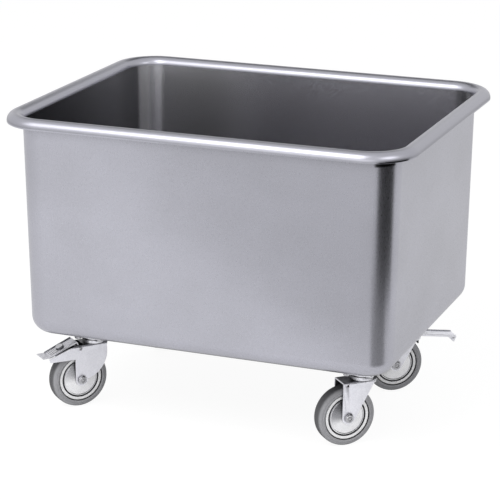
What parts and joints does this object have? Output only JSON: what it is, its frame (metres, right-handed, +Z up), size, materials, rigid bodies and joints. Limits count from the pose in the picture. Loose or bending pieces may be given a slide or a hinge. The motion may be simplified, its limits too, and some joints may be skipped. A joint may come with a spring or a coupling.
{
  "type": "mobile tub trolley",
  "caption": "Deep rounded stainless tub with a rolled rim on swivel casters, some with foot brakes, for carrying waste, laundry or food by hand.",
  "frame": {"origin": "on the floor, under the middle of the tub", "axes": "+X along the tub's length, +Y to its back, +Z up"},
  "size_m": [0.868, 0.69, 0.652],
  "materials": {
    "tub_steel": "satin stainless sheet with a fine grain",
    "bracket_steel": "folded stainless sheet",
    "zinc_steel": "bright zinc plated pressed steel",
    "bolt_steel": "zinc plated fasteners",
    "tyre_rubber": "grey non-marking rubber",
    "core_plastic": "pale grey moulded plastic",
    "guard_steel": "bright pressed steel discs with a faint sheen",
    "bearing_plastic": "dark bearing cage",
    "shoe_rubber": "black brake block"
  },
  "bodies": {
    "tub_frame": {"tub": "tub_steel", "plate_bolts": "bolt_steel", "plate_washers": "bolt_steel", "plate_nuts": "bolt_steel", "mount_bracket_front_left": "bracket_steel", "top_plate_front_left": "zinc_steel", "king_pin_front_left": "bolt_steel", "swivel_balls_front_left": "bolt_steel", "mount_bracket_front_right": "bracket_steel", "top_plate_front_right": "zinc_steel", "king_pin_front_right": "bolt_steel", "swivel_balls_front_right": "bolt_steel", "mount_bracket_rear_left": "bracket_steel", "top_plate_rear_left": "zinc_steel", "king_pin_rear_left": "bolt_steel", "swivel_balls_rear_left": "bolt_steel", "mount_bracket_rear_right": "bracket_steel", "top_plate_rear_right": "zinc_steel", "king_pin_rear_right": "bolt_steel", "swivel_balls_rear_right": "bolt_steel"},
    "caster_front_left": {"fork_front_left": "zinc_steel", "axle_bolt_front_left": "bolt_steel", "axle_nut_front_left": "bolt_steel", "axle_sleeve_front_left": "bolt_steel", "thread_guards_front_left": "guard_steel", "brake_pin_front_left": "bolt_steel"},
    "wheel_front_left": {"wheel_core_front_left": "core_plastic", "wheel_bearing_front_left": "bearing_plastic", "tyre_front_left": "tyre_rubber"},
    "caster_front_right": {"fork_front_right": "zinc_steel", "axle_bolt_front_right": "bolt_steel", "axle_nut_front_right": "bolt_steel", "axle_sleeve_front_right": "bolt_steel", "thread_guards_front_right": "guard_steel"},
    "wheel_front_right": {"wheel_core_front_right": "core_plastic", "wheel_bearing_front_right": "bearing_plastic", "tyre_front_right": "tyre_rubber"},
    "caster_rear_left": {"fork_rear_left": "zinc_steel", "axle_bolt_rear_left": "bolt_steel", "axle_nut_rear_left": "bolt_steel", "axle_sleeve_rear_left": "bolt_steel", "thread_guards_rear_left": "guard_steel"},
    "wheel_rear_left": {"wheel_core_rear_left": "core_plastic", "wheel_bearing_rear_left": "bearing_plastic", "tyre_rear_left": "tyre_rubber"},
    "caster_rear_right": {"fork_rear_right": "zinc_steel", "axle_bolt_rear_right": "bolt_steel", "axle_nut_rear_right": "bolt_steel", "axle_sleeve_rear_right": "bolt_steel", "thread_guards_rear_right": "guard_steel", "brake_pin_rear_right": "bolt_steel"},
    "wheel_rear_right": {"wheel_core_rear_right": "core_plastic", "wheel_bearing_rear_right": "bearing_plastic", "tyre_rear_right": "tyre_rubber"},
    "pedal_front_left": {"brake_pedal_front_left": "zinc_steel", "brake_shoe_front_left": "shoe_rubber", "shoe_screw_front_left": "bolt_steel"},
    "lever_rear_right": {"brake_lever_rear_right": "zinc_steel", "brake_shoe_rear_right": "shoe_rubber"}
  },
  "joints": [
    {"name": "swivel_front_left", "type": "hinge", "parent": "tub_frame", "child": "caster_front_left", "pos_m": [-0.3, -0.165, 0.145], "axis": [0, 0, 1], "continuous": true},
    {"name": "roll_front_left", "type": "hinge", "parent": "caster_front_left", "child": "wheel_front_left", "pos_m": [-0.32443, -0.19411, 0.0625], "axis": [-0.766, 0.6428, 0], "continuous": true},
    {"name": "swivel_front_right", "type": "hinge", "parent": "tub_frame", "child": "caster_front_right", "pos_m": [0.3, -0.165, 0.145], "axis": [0, 0, 1], "continuous": true},
    {"name": "roll_front_right", "type": "hinge", "parent": "caster_front_right", "child": "wheel_front_right", "pos_m": [0.27267, -0.1914, 0.0625], "axis": [-0.6947, 0.7193, 0], "continuous": true},
    {"name": "swivel_rear_left", "type": "hinge", "parent": "tub_frame", "child": "caster_rear_left", "pos_m": [-0.3, 0.165, 0.145], "axis": [0, 0, 1], "continuous": true},
    {"name": "roll_rear_left", "type": "hinge", "parent": "caster_rear_left", "child": "wheel_rear_left", "pos_m": [-0.3066, 0.20242, 0.0625], "axis": [0.9848, 0.1736, 0], "continuous": true},
    {"name": "swivel_rear_right", "type": "hinge", "parent": "tub_frame", "child": "caster_rear_right", "pos_m": [0.3, 0.165, 0.145], "axis": [0, 0, 1], "continuous": true},
    {"name": "roll_rear_right", "type": "hinge", "parent": "caster_rear_right", "child": "wheel_rear_right", "pos_m": [0.26926, 0.14266, 0.0625], "axis": [-0.5878, 0.809, 0], "continuous": true},
    {"name": "brake_front_left", "type": "hinge", "parent": "caster_front_left", "child": "pedal_front_left", "pos_m": [-0.32571, -0.19564, 0.1315], "axis": [0.766, -0.6428, 0], "range_deg": [0, 6.5]},
    {"name": "brake_rear_right", "type": "hinge", "parent": "caster_rear_right", "child": "lever_rear_right", "pos_m": [0.30728, 0.17029, 0.122], "axis": [-0.5878, 0.809, 0], "range_deg": [0, 12]}
  ]
}
